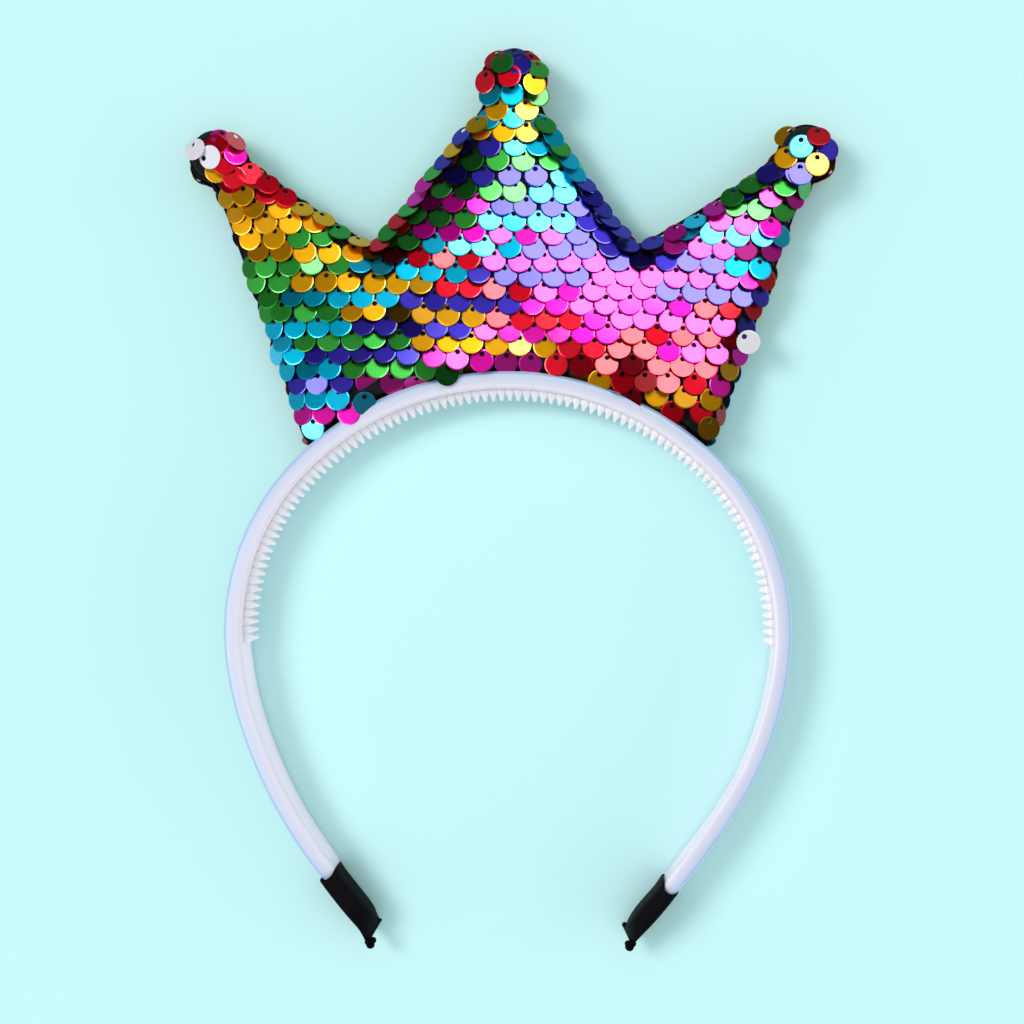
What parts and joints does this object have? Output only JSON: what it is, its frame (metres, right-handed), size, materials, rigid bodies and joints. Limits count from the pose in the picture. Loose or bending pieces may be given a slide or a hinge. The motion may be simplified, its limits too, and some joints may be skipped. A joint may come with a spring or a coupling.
{
  "type": "crown headband",
  "caption": "Curved plastic headband with an inner comb strip, cloth sleeves on its tips and a stuffed, sequin-covered crown with ball-tipped points on top.",
  "frame": {"origin": "the middle of the part's box in plan, at the level of the table that it lies on", "axes": "+Y points from the band's tips to the crown's points, +Z is up from the table and out of the crown's front, +X is across the band to the right when seen from +Z with +Y up"},
  "size_m": [0.14, 0.194, 0.0113],
  "materials": {
    "band_plastic": "smooth moulded plastic, white with a lavender cast",
    "comb_plastic": "soft translucent moulded plastic",
    "sleeve_cloth": "finely ribbed black cloth, sealed at the end",
    "sequin_cloth_front": "black knit covered with overlapping metallic foil sequins of many colours",
    "sequin_cloth_back": "black knit covered with overlapping metallic foil sequins of many colours",
    "wadding": "loose fibre filling"
  },
  "bodies": {
    "root": {"band": "band_plastic", "comb_strip": "comb_plastic", "sleeve_left": "sleeve_cloth", "sleeve_right": "sleeve_cloth", "crown_front": "sequin_cloth_front", "crown_back": "sequin_cloth_back", "crown_padding": "wadding"}
  },
  "joints": []
}
